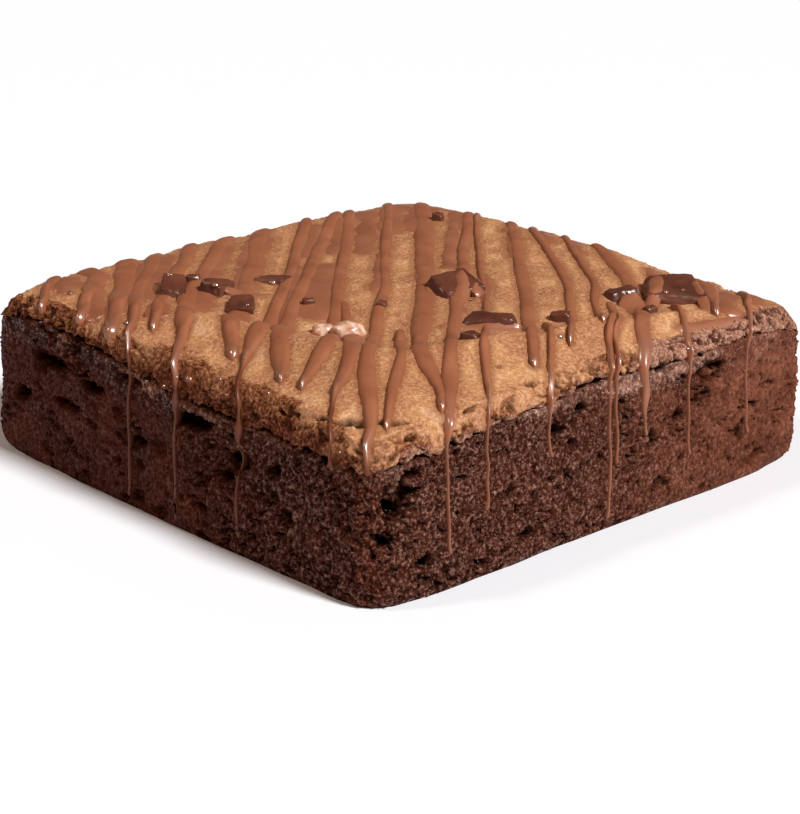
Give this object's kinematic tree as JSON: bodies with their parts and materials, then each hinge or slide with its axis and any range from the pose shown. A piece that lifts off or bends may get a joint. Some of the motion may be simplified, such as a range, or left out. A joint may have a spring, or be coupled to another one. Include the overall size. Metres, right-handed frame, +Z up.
{
  "type": "brookie",
  "caption": "Thick square bar: a dark brownie base under a drooping cookie layer set with chocolate chunks, with thin ridged lines of milk chocolate drizzled across and running down its sides.",
  "frame": {"origin": "centre of the bounding box's underside, on the surface the bar rests on", "axes": "+Z up through the layers; -Y towards the front side and +X towards the right side, with the lowest, most drooping corner at +X -Y"},
  "size_m": [0.0812, 0.0812, 0.0268],
  "materials": {
    "brownie": "moist dark crumb, matt with small fatty glints",
    "cookie": "golden baked dough with a fine grain, browner at its lower lip",
    "dark_chocolate": "dark chocolate, softly glossy",
    "milk_chocolate": "set milk chocolate drizzle, satin with small sharp glints"
  },
  "bodies": {
    "root": {"brownie_base": "brownie", "cookie_layer": "cookie", "chocolate_chunk_back_right": "dark_chocolate", "chocolate_chunk_right": "dark_chocolate", "chocolate_chunk_middle": "dark_chocolate", "chocolate_chunk_crest": "dark_chocolate", "chocolate_chunk_left_1": "dark_chocolate", "chocolate_chunk_left_2": "dark_chocolate", "chocolate_chunk_left_3": "dark_chocolate", "chocolate_chunk_left_4": "dark_chocolate"}
  },
  "joints": []
}
